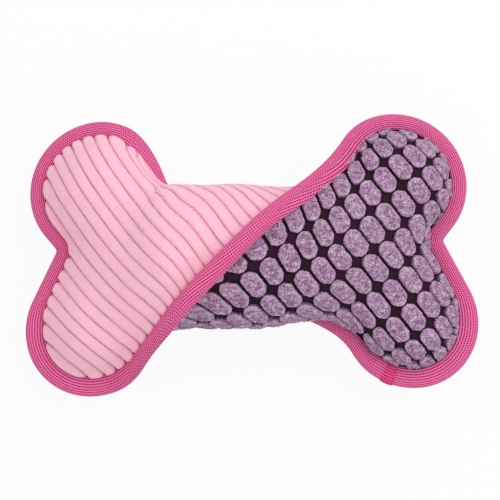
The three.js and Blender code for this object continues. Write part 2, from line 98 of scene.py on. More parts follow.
notchRadius = bone["tapeReach"] + bone["notchCrease"]
notchReach = math.hypot(bone["lobeRadius"] + notchRadius, bone["notchSide"])
notchCentreX = lobe[0] + math.sqrt(notchReach**2 - (lobe[1] - bone["notchShift"]) ** 2)


def smooth(share):
    s = np.clip(share, 0, 1)
    return s * s * (3 - 2 * s)


# From 0 at a start to 1 a length further.
def rising(value, start, length):
    return smooth((value - start) / length)


# One at a place, fading on both sides of it.
def hump(value, place, length):
    return np.exp(-(((value - place) / length) ** 2))


# Nothing before a place and growing evenly past it, with a soft start.
def growing(value, place, length):
    return length * np.log1p(np.exp((value - place) / length))


def turnAt(x):
    start, end = bone["twist"]
    easeIn, easeOut = bone["twistEase"]
    even = 1 - (easeIn + easeOut) / 2
    s = np.clip((x - start) / (end - start), 0, 1)
    share = (s - easeIn / 2) / even
    share = np.where(s < easeIn, s * s / (2 * easeIn * even), share)
    share = np.where(s > 1 - easeOut, 1 - (1 - s) ** 2 / (2 * easeOut * even), share)
    return share * math.pi


def axisHeightAt(x):
    start, end = bone["rise"]
    return endAxis + (waistAxis - endAxis) * smooth((start - np.abs(x)) / (start - end))


# From the flat bone, with a height over the seam plane, to the twisted bone.
def place(flat, height):
    x = flat[..., 0] + bone["lean"] * flat[..., 1]
    turn = turnAt(x)
    y = flat[..., 1] * np.cos(turn) + height * np.sin(turn)
    z = axisHeightAt(x) + height * np.cos(turn) - flat[..., 1] * np.sin(turn)
    return np.stack([x, y, z], axis=-1)


def waistShare(x):
    return smooth((bone["waistSwell"] - np.abs(x)) / (bone["waistSwell"] - bone["waistFull"]))


def unit(vectors):
    return vectors / np.maximum(np.linalg.norm(vectors, axis=-1, keepdims=True), 1e-12)


def lengthAlong(path):
    return np.append(0, np.cumsum(np.linalg.norm(np.diff(path, axis=0), axis=1)))


def directions(angle):
    return np.stack([np.cos(angle), np.sin(angle)], axis=1)


def circle(count):
    return directions(np.linspace(0, 2 * math.pi, count, endpoint=False))


def between(a, b, share):
    return np.asarray(a) + (np.asarray(b) - np.asarray(a)) * np.asarray(share)[:, None]


# One quarter of the sewn outline, from the middle of the waist to the end notch: seam points, outward
# directions, and the points of the middle line that the cover climbs to. Its stations are counted out in the
# same shares on both seams, so that they meet on the middle line.
def quarterOutline(straight, notchOffset, step):
    share = max(1, round(bone["stationLength"] / step))
    radius, half = bone["lobeRadius"], bone["waistHalfWidth"]
    bend = ((lobe[0] - straight) ** 2 + (half - lobe[1]) ** 2 - radius**2) / (2 * (radius - half + lobe[1]))
    bendCentre = np.array([straight, half + bend])
    notchCentre = np.array([notchCentreX, notchOffset])
    toBend, toNotch = bendCentre - lobe, notchCentre - lobe
    lobeStart = math.atan2(toBend[1], toBend[0])
    lobeEnd = math.atan2(toNotch[1], toNotch[0])
    lobeEnd += math.acos((radius + notchRadius) / np.linalg.norm(toNotch))

    flank = straight + bend * (lobeStart - math.pi / 2)
    along = np.linspace(0, flank, 10 * share, endpoint=False)
    away = directions(math.pi / 2 + np.maximum(0, along - straight) / bend)
    seam = bendCentre - bend * away
    seam[:, 0] = np.where(along < straight, along, seam[:, 0])
    climb = along / flank
    split = bone["forkShare"]
    towardsLobe = between(fork, lobe, (climb - split) / (1 - split))
    spine = np.where((climb > split)[:, None], towardsLobe, between((0, 0), fork, climb / split))
    parts = [(seam, away, spine)]

    count = round(radius * (lobeStart - lobeEnd) / step)
    away = directions(np.linspace(lobeStart, lobeEnd, count))
    parts.append((lobe + radius * away, away, np.tile(lobe, (count, 1))))

    side = directions(np.array([lobeEnd]))[0]
    sideStart, sideEnd = lobe + radius * side, notchCentre - notchRadius * side
    climb = np.linspace(0, 1, 2 * share + 1)[1:]
    straightSide = between(sideStart, sideEnd, climb)
    parts.append((straightSide, np.tile(side, (2 * share, 1)), between(lobe, fork, climb / 2)))
    away = directions(lobeEnd * (1 - climb))
    parts.append((notchCentre - notchRadius * away, away, between(lobe, fork, 0.5 + climb / 2)))
    return [np.concatenate(group) for group in zip(*parts)]


# The seam lies further in on three lobes, and the tape shows wider there: how far in, and how far the tape
# goes out over the outline.
def lobeInset(seam, away):
    x, y = seam[:, 0], seam[:, 1]
    lobes = np.prod(smooth((np.abs(seam) - bone["lobeStart"]) / bone["lobeFade"]), axis=1)
    low = smooth((np.sign(x) * (away @ bone["lowWay"]) + 0.2) / 0.7) * (x * y > 0)
    neck = smooth((away @ bone["neckWay"] - 0.62) / 0.3) * ((x < 0) & (y > 0))
    return lobes * (bone["lowInset"] * low + bone["neckInset"] * neck), lobes * bone["neckReach"] * neck


# The sewn outline once round, quarter by quarter.
def outlineStations(step):
    shift = bone["notchShift"]
    quarters = []
    for turnX, turnY, straight, offset, backwards in (
        (1, 1, bone["underStraight"], -shift, False),
        (1, -1, bone["overStraight"], shift, True),
        (-1, -1, bone["overStraight"], -shift, False),
        (-1, 1, bone["underStraight"], shift, True),
    ):
        quarter = [part * (turnX, turnY) for part in quarterOutline(straight, offset, step)]
        quarters.append([part[-2:0:-1] for part in quarter] if backwards else quarter)
    seam, away, spine = [np.concatenate(group) for group in zip(*quarters)]
    return seam - away * lobeInset(seam, away)[0][:, None], away, spine


# How far each station is in a stretch of the seam that passes over the waist, from 0 to 1.
def overSeam(seam, stretch):
    start, full, fade, end = bone[stretch]
    x = seam[:, 0] + bone["lean"] * seam[:, 1]
    share = smooth((x - start) / (full - start)) * smooth((end - x) / (end - fade))
    return np.where(seam[:, 1] < 0, share, 0)


def seamPlace(seam, away, out, height):
    pivot = bone["seamPivot"]
    lean = math.radians(bone["seamLean"]) * overSeam(seam, "leant")[:, None]
    leantOut = out * np.cos(lean) - (height - pivot) * np.sin(lean)
    leantHeight = pivot + (height - pivot) * np.cos(lean) + out * np.sin(lean)
    # without a lean these are the same out and height
    return place(seam[:, None, :] + away[:, None, :] * leantOut[..., None], leantHeight)


# A cover's face as a grid of stations and rings, with the cloth's own flat coordinates.
# Rings run from inside the tape, over the seam, to the middle line.
def coverGrid(sign, step, rings):
    seam, away, spine = outlineStations(step)
    reach = np.linalg.norm(seam - spine, axis=1)[:, None]
    full = waistShare(spine[:, 0])[:, None]
    rise = (bone["endDepth"] + (bone["waistDepth"] - bone["endDepth"]) * full) / 2 - bone["seat"]
    fullness = bone["endFullness"] + (bone["waistFullness"] - bone["endFullness"]) * full
    if sign < 0:
        fullness = fullness + bone["neckFullness"] * overSeam(seam, "low")[:, None]
    angle = np.linspace(0, math.pi / 2, rings + 1)[None, :]
    inward = reach * (1 - np.cos(angle))
    height = bone["seat"] + rise * np.sin(angle) ** fullness
    towards = ((spine - seam) / reach)[:, None, :]
    flat = seam[:, None, :] + towards * inward[..., None]
    flat[:, -1] = spine
    points = place(flat, sign * height)

    ringLength = np.hypot(np.diff(inward, axis=1), np.diff(height, axis=1))
    along = np.concatenate([np.cumsum(ringLength[:, ::-1], axis=1)[:, ::-1], 0 * reach], axis=1)
    tucked = np.tile(bone["tucks"], (len(seam), 1))
    edge = seamPlace(seam, away, tucked, sign * bone["seat"] + 0 * tucked)
    points = np.concatenate([edge, points], axis=1)
    height = np.concatenate([bone["seat"] + 0 * tucked, height], axis=1)
    along = np.concatenate([along[:, :1] + tucked, along], axis=1)

    cloth = spine[:, None, :] - towards * along[..., None]
    clothX = cloth[..., 0] + bone["lean"] * cloth[..., 1]
    girth, turn = bone["clothGirth"], turnAt(points[..., 0])
    clothY = cloth[..., 1] + girth * turn if sign > 0 else girth * (turn - math.pi) - cloth[..., 1]
    cloth = np.stack([clothX, clothY], axis=-1)
    lifted = np.maximum(overSeam(seam, "leant"), overSeam(seam, "low"))[:, None]
    _, meeting = np.unique(np.round(points[:, -1], 6), axis=0, return_inverse=True)
    steps = np.linalg.norm(np.roll(seam, -1, axis=0) - seam, axis=1)
    return {
        "points": points,
        "cloth": cloth,
        "height": height,
        "lifted": lifted,
        "under": (rising(seam[:, 0], *bone["offEnd"]) * (seam[:, 1] > 0))[:, None, None],
        "flank": np.append([0, 0, 0], np.sin(2 * angle)) * (seam[:, 1:] > 0),
        "sign": sign,
        "meeting": meeting.ravel(),  # stations that share a point of the middle line have the same number
        "along": np.append(0, np.cumsum(steps)) / steps.sum(),
        "rings": np.append([0, 0, 0], np.linspace(0, 1, rings + 1)),
    }


# Means over the stations that share a point of the middle line.
def meanWhereMeeting(grid, numbers):
    meeting = grid["meeting"]
    total = np.zeros((meeting.max() + 1, numbers.shape[1]))
    np.add.at(total, meeting, numbers)
    return (total / np.bincount(meeting)[:, None])[meeting]


# Outward directions of a grid, evened where its rings meet on the middle line.
def gridNormals(grid):
    points = grid["points"]
    alongSeam = np.roll(points, -1, axis=0) - np.roll(points, 1, axis=0)
    normals = np.cross(np.gradient(points, axis=1), alongSeam) * grid["sign"]
    normals[:, -1] = normals[:, -2]
    normals = unit(normals)
    normals[:, -1] = unit(meanWhereMeeting(grid, normals[:, -1]))
    return normals


# Even noise, for the lumps of the stuffing and for roughening cloth and pile.
def softNoise(points, size, seed=0.0):
    scaled = points.reshape(-1, 3) / size + seed
    return np.array([noise.noise(Vector(p)) for p in scaled.tolist()]).reshape(points.shape[:-1])


def uneven(points, kind, seed):
    height, size = kind
    return height * softNoise(points, size, seed)


stuffing = {
    "start": (6 * mm, 14 * mm),  # height where its lumps start, and over which they grow
    "large": (0.9 * mm, 27 * mm),  # height and size of the lumps
    "small": (0.35 * mm, 11 * mm),
}


def stuffingLumps(grid):
    lumps = uneven(grid["points"], stuffing["large"], 1.7) + uneven(grid["points"], stuffing["small"], 6.1)
    return lumps * rising(grid["height"], *stuffing["start"])


def onFloor(points):
    points[..., 2] = np.maximum(points[..., 2], 0)
    return points


def addMesh(name, points, faces, uv=None, values=None):
    mesh = bpy.data.meshes.new(name)
    mesh.from_pydata(points.tolist(), [], [list(face) for face in faces])
    mesh.polygons.foreach_set("use_smooth", [True] * len(mesh.polygons))
    if uv is not None:
        layer = mesh.uv_layers.new(name="cloth")
        layer.data.foreach_set("uv", np.asarray(uv, np.float32).ravel())
    for key, numbers in (values or {}).items():
        layer = mesh.attributes.new(key, "FLOAT", "POINT")
        layer.data.foreach_set("value", np.asarray(numbers, np.float32).ravel())
    mesh.update()
    piece = bpy.data.objects.new(name, mesh)
    scene.collection.objects.link(piece)
    return piece


def readPoints(mesh, key):
    numbers = np.empty(len(mesh.vertices) * 3)
    mesh.vertices.foreach_get(key, numbers)
    return numbers.reshape(-1, 3)


# Faces of a cover's grid: closed round the outline and sewn up along the middle line.
def sheetFaces(grid):
    stations, columns = grid["points"].shape[:2]
    ids = gridIds(stations, columns, False)
    meeting = grid["meeting"]
    first = np.zeros(meeting.max() + 1, int)
    first[meeting[::-1]] = ids[::-1, -1]
    ids[:, -1] = first[meeting]
    following = np.roll(ids, -1, axis=0)
    corners = [ids[:, :-1], following[:, :-1], following[:, 1:], ids[:, 1:]]
    corners = np.stack(corners, axis=-1).reshape(-1, 4)
    if grid["sign"] > 0:
        corners = corners[:, ::-1]
    faces = [list(dict.fromkeys(corner)) for corner in corners.tolist()]
    faces = [face for face in faces if len(face) > 2]
    used = np.unique(np.concatenate(faces))
    lookup = np.zeros(stations * columns, int)
    lookup[used] = np.arange(len(used))
    return used, [lookup[face].tolist() for face in faces], lookup[ids]


# Numbers of a grid's points, row by row, with the first column again at the end if it is closed.
def gridIds(rows, columns, closed=True):
    ids = np.arange(rows * columns).reshape(rows, columns)
    return np.concatenate([ids, ids[:, :1]], axis=1) if closed else ids


def stripFaces(ids, nextIds):
    corners = [nextIds[:, :-1], nextIds[:, 1:], ids[:, 1:], ids[:, :-1]]
    return np.stack(corners, axis=-1).reshape(-1, 4).tolist()


def perCorner(faces, numbers):
    return numbers[np.concatenate(faces)]


def addCover(name, grid, lift, uv):
    shaped = onFloor(grid["points"] + grid["normals"] * lift[..., None])
    used, faces, _ = sheetFaces(grid)
    return addMesh(name, shaped.reshape(-1, 3)[used], faces, perCorner(faces, uv.reshape(-1, 2)[used]))


# The covers settle over the stuffing: a coarse copy of each, smoothed, is blown up as cloth that is held
# along its seam, and the cover follows it.
settling = {
    "step": 2.6 * mm,
    "rings": 26,
    "held": 8 * mm,  # cloth nearer the seam plane than this stays
    "smoothing": 20,
    "evenness": 0.5,  # of each round of smoothing
    "quality": 6,
    "pressure": 4.0,
    "frames": 18,
    "furthest": 4.5 * mm,  # limit of a move
}


def blownUp(coarse):
    used, faces, whole = sheetFaces(coarse)
    piece = addMesh("settlingCloth", coarse["points"].reshape(-1, 3)[used], faces)
    height = coarse["height"].ravel()[used]
    groups = {"held": height < settling["held"], "free": height >= settling["held"]}
    for name, chosen in groups.items():
        piece.vertex_groups.new(name=name).add(np.nonzero(chosen)[0].tolist(), 1.0, "REPLACE")
    even = piece.modifiers.new("even", "SMOOTH")
    even.iterations = settling["smoothing"]
    even.factor = settling["evenness"]
    even.vertex_group = "free"
    cloth = piece.modifiers.new("settle", "CLOTH")
    cloth.point_cache.frame_end = settling["frames"]
    cloth.settings.quality = settling["quality"]
    cloth.settings.vertex_group_mass = "held"
    cloth.settings.use_pressure = True
    cloth.settings.uniform_pressure_force = settling["pressure"]
    cloth.settings.effector_weights.gravity = 0
    for number in range(1, settling["frames"] + 1):
        scene.frame_set(number)
    shaped = piece.evaluated_get(bpy.context.evaluated_depsgraph_get()).data
    points = readPoints(shaped, "co")
    scene.frame_set(1)
    bpy.data.objects.remove(piece)
    return points[whole]


# Numbers of a coarse grid at other places along one of its sides, by smooth curves through four of them.
def curvedThrough(numbers, at, closed):
    count = len(numbers)
    first = np.floor(at).astype(int)
    t = (at - first).reshape(-1, *[1] * (numbers.ndim - 1))
    picks = [(first + k) % count if closed else np.clip(first + k, 0, count - 1) for k in (-1, 0, 1, 2)]
    a, b, c, d = (numbers[pick] for pick in picks)
    return b + t / 2 * (c - a + t * (2 * a - 5 * b + 4 * c - d + t * (3 * (b - c) + d - a)))


# What moved in the coarse copy moves a cover's finer grid.
def follow(grid, coarse, moves):
    station = np.interp(grid["along"][:-1], coarse["along"], np.arange(len(coarse["along"])))
    moves = curvedThrough(moves, station, True)
    ring = 3 + grid["rings"][3:] * settling["rings"]
    moves = curvedThrough(np.swapaxes(moves, 0, 1), np.append([0, 1, 2], ring), False)
    moves = np.swapaxes(moves, 0, 1)
    moves[:, -1] = meanWhereMeeting(grid, moves[:, -1])
    return moves


def settle(grid):
    coarse = coverGrid(grid["sign"], settling["step"], settling["rings"])
    normals = gridNormals(coarse)
    limit = settling["furthest"]
    size = np.sum((blownUp(coarse) - coarse["points"]) * normals, axis=-1, keepdims=True)
    moves = follow(grid, coarse, normals * np.tanh(size / limit) * limit)
    grid["points"] = grid["points"] + moves
    largest = np.linalg.norm(moves, axis=-1).max() / mm
    print("settled a cover by up to", round(float(largest), 2), "mm")


# Node helpers.
def newMaterial(name, **sockets):
    material = bpy.data.materials.new(name)
    material.use_nodes = True
    shader = material.node_tree.nodes["Principled BSDF"]
    for socket, value in sockets.items():
        shader.inputs[socket.replace("_", " ")].default_value = value
    return material, material.node_tree, shader


def node(tree, kind, inputs=None, **settings):
    made = tree.nodes.new("ShaderNode" + kind)
    for key, value in settings.items():
        setattr(made, key, value)
    for key, value in (inputs or {}).items():
        if isinstance(value, bpy.types.NodeSocket):
            tree.links.new(value, made.inputs[key])
        else:
            made.inputs[key].default_value = value
    return made


def maths(tree, operation, *values):
    return node(tree, "Math", dict(enumerate(values)), operation=operation).outputs[0]


def ramp(tree, value, *stops):
    made = node(tree, "ValToRGB", {0: value})
    elements = made.color_ramp.elements
    while len(elements) < len(stops):
        elements.new(0.5)
    for element, (position, colour) in zip(elements, stops):
        element.position = position
        element.color = (*colour, 1) if isinstance(colour, tuple) else (colour, colour, colour, 1)
    return made.outputs[0]


def mixColour(tree, factor, a, b):
    colours = {6: a, 7: (*b, 1)}
    return node(tree, "Mix", {0: factor} | colours, data_type="RGBA").outputs[2]


def clothUv(tree):
    return node(tree, "SeparateXYZ", {0: node(tree, "UVMap", uv_map="cloth").outputs[0]}).outputs


def speckle(tree, size, detail=2.0, roughness=0.5):
    inputs = {"Vector": node(tree, "TexCoord").outputs["Object"], "Scale": 1 / size}
    return node(tree, "TexNoise", inputs | {"Detail": detail, "Roughness": roughness}).outputs[0]


def fromMiddle(tree, value):
    return maths(tree, "ABSOLUTE", maths(tree, "SUBTRACT", maths(tree, "FRACT", value), 0.5))


def finish(tree, shader, colour, height, distance):
    tree.links.new(colour, shader.inputs["Base Color"])
    bump = node(tree, "Bump", {"Height": height, "Distance": distance, "Strength": 1.0})
    tree.links.new(bump.outputs[0], shader.inputs["Normal"])


def dress(piece, material, slot, *nodes):
    piece.data.materials.append(material)
    if nodes:
        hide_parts(*nodes)
    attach(piece, "toy")


# Every soft piece gets a mesh of its own.
def giveWay(*pieces):
    for piece in pieces:
        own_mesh(piece)


# Corduroy cover.
corduroy = {
    "walePitch": 6.2 * mm,
    "waleAngle": 54,  # degrees down from the long axis
    "waleHeight": 1.0 * mm,
    "waleTop": 0.72,  # share of a wale's height that lies under the cover's mean face
    "scallop": 1.7 * mm,  # how far the wales bulge over the tape's edge
    # places below are pairs: where a change starts or has its middle, and its length
    "scallopPlace": (6.5 * mm, 4 * mm),
    "seamPlace": (3.6 * mm, 2.4 * mm),  # plain cloth up to here
    "neckBulge": 3.2 * mm,  # over the tape at the upper left neck
    "neckPlace": (-42 * mm, 17 * mm),
    "endPlace": (25 * mm, 25 * mm),  # counted to the left: beyond it the wales lie as seen from above
    "steepPlace": (-0.55, 0.4),  # apart from the neck's cloth that faces up less than 0.55
    "waver": (0.7 * mm, 40 * mm),  # depth and size
    "widen": 0.05,  # how much wider the wales lie at the left end
    "widenPlace": (-48 * mm, 10 * mm),
    "steepen": 0.39,  # how much steeper they lie where the waist turns under the tape
    "steepenPlace": (-20 * mm, 50 * mm),
    "steepenFrom": 12 * mm,
    "narrow": 0.4,  # how much closer they lie towards the crossing's upper end
    "narrowPlace": (22 * mm, 5 * mm),
    "turn": 17,  # degrees that the wales turn between the left end and the crossing
    "turnPlace": (-62 * mm, 60 * mm),
    "step": 0.76 * mm,
    "rings": 82,
    # colours across a wale, from its top to the groove: the first is the top's own pink, the next three are
    # painted shade down its sides and in the groove; the second is also mixed in at random in patches
    "pale": (1.0, 0.59, 0.705),
    "deep": (0.98, 0.44, 0.575),
    "grooveShade": (0.56, 0.19, 0.28),
    "grooveBottomShade": (0.38, 0.11, 0.18),
    "bloom": (1.0, 0.69, 0.775),
    "grain": (0.83, 0.39, 0.51),
}


def makeCorduroy():
    grid = coverGrid(1, corduroy["step"], corduroy["rings"])
    settle(grid)
    normals = grid["normals"] = gridNormals(grid)
    points, cloth, height = grid["points"], grid["cloth"], grid["height"]
    # over the left end the wales run on evenly as seen from above, apart from the steep side of the neck
    end = rising(-points[..., :1], *corduroy["endPlace"])
    end = end * (1 - grid["under"] * rising(-normals[..., 2:], *corduroy["steepPlace"]))
    cloth = cloth + end * (points[..., :2] - cloth)
    angle = math.radians(corduroy["waleAngle"])
    flat = np.concatenate([cloth, 0 * cloth[..., :1]], axis=-1)
    bend = uneven(flat, corduroy["waver"], 3.1)
    along = cloth[..., 0] * math.cos(angle) - cloth[..., 1] * math.sin(angle)
    # an even turn of the wales, which stops growing past the turn's length
    start, length = corduroy["turnPlace"]
    turned = length * np.log(np.cosh((along - start) / length))
    bend -= math.tan(math.radians(corduroy["turn"])) * turned
    across = cloth[..., 0] * math.sin(angle) + cloth[..., 1] * math.cos(angle) + bend
    start, length = corduroy["widenPlace"]
    across += corduroy["widen"] * growing(-across, -start, length)
    alongTape = (points[..., 0] + points[..., 1]) / math.sqrt(2)
    fromTape = (points[..., 1] - points[..., 0]) / math.sqrt(2)
    steepen = corduroy["steepen"] * rising(alongTape, *corduroy["steepenPlace"])
    across -= (1 - end[..., 0]) * steepen * (fromTape - corduroy["steepenFrom"])
    across -= corduroy["narrow"] * growing(alongTape, *corduroy["narrowPlace"])
    across, along = across / corduroy["walePitch"], along / corduroy["walePitch"]
    fromTop = np.abs((across % 1) - 0.5) * 2
    wale = np.sqrt(np.clip(1 - fromTop**5, 0, 1))
    atSeam = rising(height, *corduroy["seamPlace"])
    lift = corduroy["waleHeight"] * (wale - corduroy["waleTop"]) * atSeam
    bulge = corduroy["scallop"] * (1 - 0.9 * grid["lifted"] ** 2) * (1 - fromTop**4)
    lift += bulge * atSeam * hump(height, *corduroy["scallopPlace"])
    lift += corduroy["neckBulge"] * grid["flank"] * hump(points[..., 0], *corduroy["neckPlace"])
    lift += stuffingLumps(grid) + 0.1 * mm * softNoise(points, 1.6 * mm, 9.2) * atSeam
    return addCover("corduroyCover", grid, lift, np.stack([across, along], axis=-1))


def corduroyMaterial():
    sheen = {"Sheen_Weight": 0.2, "Sheen_Roughness": 0.5, "Sheen_Tint": (1.0, 0.85, 0.9, 1)}
    material, tree, shader = newMaterial("corduroy", Roughness=0.92, **sheen)
    fine = speckle(tree, 1.0 * mm, 3, 0.65)
    patchy = speckle(tree, 8 * mm, 3, 0.6)
    fromTop = maths(tree, "MULTIPLY", fromMiddle(tree, clothUv(tree)[0]), 2)
    edge = maths(tree, "MULTIPLY_ADD", maths(tree, "SUBTRACT", fine, 0.5), 0.06, fromTop)
    pale, deep, grooveShade, foot = (corduroy[key] for key in ("pale", "deep", "grooveShade", "grooveBottomShade"))
    # darker from the wale's top to its groove: painted shade on the wale's sides and in the groove
    colour = ramp(tree, edge, (0.45, pale), (0.86, deep), (0.93, grooveShade), (1, foot))
    colour = mixColour(tree, ramp(tree, fine, (0.45, 0.0), (0.8, 0.5)), colour, corduroy["bloom"])
    grain = speckle(tree, 0.55 * mm, 2, 0.7)
    colour = mixColour(tree, ramp(tree, grain, (0.36, 0.55), (0.5, 0.0)), colour, corduroy["grain"])
    colour = mixColour(tree, ramp(tree, patchy, (0.35, 0.0), (0.7, 0.4)), colour, deep)
    nap = maths(tree, "ADD", fine, speckle(tree, 0.45 * mm, 2, 0.6))
    finish(tree, shader, colour, nap, 0.22 * mm)
    return material


corduroyCover = makeCorduroy()
dress(corduroyCover, corduroyMaterial(), "corduroy", "corduroy_panel")
print("corduroy cover:", len(corduroyCover.data.vertices), "points")

# Block cover: a black ground with blocks of cut pile on it.
blocks = {
    "pitchShort": 10.88 * mm,
    "pitchLong": 16.45 * mm,
    "angle": 53,  # degrees that the blocks' long sides run down from the long axis
    "origin": (7.3 * mm, 31.3 * mm),  # middle of one block on the cloth
    "gapShort": 1.7 * mm,
    "gapLong": 0.8 * mm,
    "corner": 3.0 * mm,  # how much of each corner is cut off
    "height": 3.4 * mm,
    "groundDepth": 1.7 * mm,  # of the ground under the cover's mean face
    "edgeHeight": 4.2 * mm,  # the blocks stop this high over the seam plane
    "edgeDrop": 1.6 * mm,  # and lower where the seam leans
    "edgeFade": 5 * mm,  # they grow to their full height over this
    "edgeShare": 0.6,
    "sizes": (1, 0.8, 0.62, 0.45),  # tried in turn where the cloth is folded on itself
    "longestHop": 7.5 * mm,  # between neighbouring points of a block's foot
    "furthest": 9 * mm,  # of a block's middle from the free cloth
    "offCloth": 1.2 * mm,  # points further than this from the free cloth stay at its edge
    "stretch": 1.3,  # furthest that a block is drawn out
    "least": 0.15,  # share of a block that has to lie on the cloth
    "bare": 5.2 * mm,  # ground further than this from a block gets a small one
    "bareSize": 0.7,
    # height and size of the unevenness of the tops, of their tufts and of the sides
    "swell": (0.45 * mm, 4.5 * mm),
    "tuft": (0.4 * mm, 1.5 * mm),
    "fray": (0.45 * mm, 1.25 * mm),
    "step": 0.9 * mm,
    "rings": 60,
    "around": 60,
    "pale": (0.59, 0.385, 0.565),
    "middle": (0.355, 0.185, 0.335),
    "dark": (0.12, 0.05, 0.11),
    # dark colour at the blocks' foot: painted shade where they meet the ground
    "foot": (0.05, 0.025, 0.045),
    "tip": (0.78, 0.6, 0.77),
    "ground": (0.026, 0.008, 0.019),
    "groundLight": (0.046, 0.018, 0.035),
}
# rings of a block from its foot to its crown: share of the outline, share of the height
blockRings = [
    (0.93, -0.15),
    (0.98, 0.2),
    (1.0, 0.42),
    (1.0, 0.62),
    (0.96, 0.8),
    (0.85, 0.91),
    (0.68, 0.97),
    (0.45, 1.0),
    (0.2, 1.01),
]


# Outline of one block about its middle: a rounded octagon in the cloth's short and long directions.
def blockOutline():
    halfShort = (blocks["pitchShort"] - blocks["gapShort"]) / 2
    halfLong = (blocks["pitchLong"] - blocks["gapLong"]) / 2
    away = unit(circle(blocks["around"]) * (halfShort, halfLong))
    size = np.abs(away)
    cut = size.sum(axis=1) / (halfShort + halfLong - blocks["corner"])
    # a power mean of the straight sides rounds the corners between them
    power = 20
    inverse = (size[:, 0] / halfShort) ** power + (size[:, 1] / halfLong) ** power + cut**power
    return away * (inverse ** (-1 / power))[:, None]


# How a grid's surface moves for a move in the cloth, at every grid point.
def clothSlopes(cloth, seat):
    clothU = np.roll(cloth, -1, axis=0) - np.roll(cloth, 1, axis=0)
    clothV = np.gradient(cloth, axis=1) * 2
    seatU = np.roll(seat, -1, axis=0) - np.roll(seat, 1, axis=0)
    seatV = np.gradient(seat, axis=1) * 2
    area = clothU[..., 0] * clothV[..., 1] - clothU[..., 1] * clothV[..., 0]
    area = np.where(np.abs(area) < 1e-12, 1e-12, area)[..., None]
    perX = (seatU * clothV[..., 1:2] - seatV * clothU[..., 1:2]) / area
    perY = (seatV * clothU[..., 0:1] - seatU * clothV[..., 0:1]) / area
    return perX.reshape(-1, 3), perY.reshape(-1, 3)


def nearTree(spots, numbers):
    tree = kdtree.KDTree(len(spots))
    for spot, number in zip(spots, numbers):
        tree.insert(spot, number)
    tree.balance()
    return tree


# A move in the cloth as a move of the surface, drawn out no further than the limit.
def surfaceMove(perX, perY, move, limit):
    shift = perX * move[:, :1] + perY * move[:, 1:]
    furthest = limit * np.linalg.norm(move, axis=1) / np.maximum(np.linalg.norm(shift, axis=1), 1e-9)
    return shift * np.minimum(1, furthest)[:, None]


def makeBlocks(grid):
    cloth = grid["cloth"].reshape(-1, 2)
    seat = grid["points"] + grid["normals"] * grid["lift"][..., None]
    perX, perY = clothSlopes(grid["cloth"], seat)
    seat, normals = seat.reshape(-1, 3), grid["normals"].reshape(-1, 3)
    height = grid["height"].ravel()
    lowest = blocks["edgeHeight"] - blocks["edgeDrop"] * grid["lifted"]
    lowest = np.broadcast_to(lowest, grid["height"].shape).ravel()
    free = np.nonzero(height > lowest)[0]
    tree = nearTree([(x, y, 0) for x, y in cloth[free].tolist()], free.tolist())

    angle = math.radians(blocks["angle"])
    shortWay, longWay = (math.sin(angle), math.cos(angle)), (math.cos(angle), -math.sin(angle))
    ways = np.array([shortWay, longWay])
    pitches = np.array([blocks["pitchShort"], blocks["pitchLong"]])
    origin = np.array(blocks["origin"])
    spread = (cloth[free] - origin) @ ways.T / pitches
    low, high = np.floor(spread.min(axis=0)).astype(int), np.ceil(spread.max(axis=0)).astype(int)
    around = blocks["around"]
    plan = np.concatenate([blockOutline() * scale for scale, _ in blockRings] + [np.zeros((1, 2))]) @ ways
    rise = np.concatenate([np.full(around, share) for _, share in blockRings] + [blockRings[-1][1:]])
    rough = (rise > 0.1) * 1.0
    laid, laidCloth = [], []

    def lay(at, near, spots):
        edge = smooth((height[near] - lowest[near]) / blocks["edgeFade"])
        tall = rise * blocks["height"] * (blocks["edgeShare"] + (1 - blocks["edgeShare"]) * edge)
        at = at + normals[near] * (tall + rough * uneven(at, blocks["swell"], 7.7))[:, None]
        at += normals[near] * (rough * uneven(at, blocks["tuft"], 2.2))[:, None]
        at += unit(at - at[-1]) * (rough * uneven(at, blocks["fray"], 4.4))[:, None]
        laid.append(at)
        laidCloth.append(spots / mm)

    for m in range(low[0], high[0] + 1):
        for n in range(low[1], high[1] + 1):
            middle = origin + (np.array([m, n]) * pitches) @ ways
            if tree.find((*middle, 0))[2] > blocks["furthest"]:
                continue
            for scale in blocks["sizes"]:
                spots = middle + plan * scale
                found = [tree.find((x, y, 0)) for x, y in spots.tolist()]
                near = np.array([hit[1] for hit in found])
                inside = np.array([hit[2] for hit in found]) < blocks["offCloth"]
                move = (spots - cloth[near]) * inside[:, None]
                at = seat[near] + surfaceMove(perX[near], perY[near], move, blocks["stretch"])
                hop = np.linalg.norm(at[:around] - np.roll(at[:around], 1, axis=0), axis=1)
                if hop.max() < blocks["longestHop"]:
                    break
            if hop.max() < blocks["longestHop"] and inside.mean() >= blocks["least"]:
                lay(at, near, spots)

    # bare patches at the end notches get small blocks of their own
    tree = nearTree(np.concatenate(laid).tolist(), range(len(laid) * len(plan)))
    bare = np.array([tree.find(spot)[2] for spot in seat[free].tolist()])
    while bare.max() > blocks["bare"]:
        near = np.full(len(plan), free[bare.argmax()])
        move = blocks["bareSize"] * surfaceMove(perX[near], perY[near], plan, 1)
        lay(seat[near] + move, near, cloth[near] + plan)
        for spot in laid[-1][::6]:
            bare = np.minimum(bare, np.linalg.norm(seat[free] - spot, axis=1))

    top = len(plan) - 1
    ids = gridIds(len(blockRings), around)
    blockFaces = stripFaces(ids[:-1], ids[1:])
    blockFaces += [[b, a, top] for a, b in zip(ids[-1, :-1].tolist(), ids[-1, 1:].tolist())]
    starts = range(0, len(laid) * len(plan), len(plan))
    faces = [[corner + start for corner in face] for start in starts for face in blockFaces]
    # each point's share of its block's height, which the material uses for the painted shade at the foot
    values = {"pile": np.tile(np.clip(rise, 0, 1), len(laid))}
    uv = perCorner(faces, np.concatenate(laidCloth))
    return addMesh("pileBlocks", onFloor(np.concatenate(laid)), faces, uv, values), len(laid)


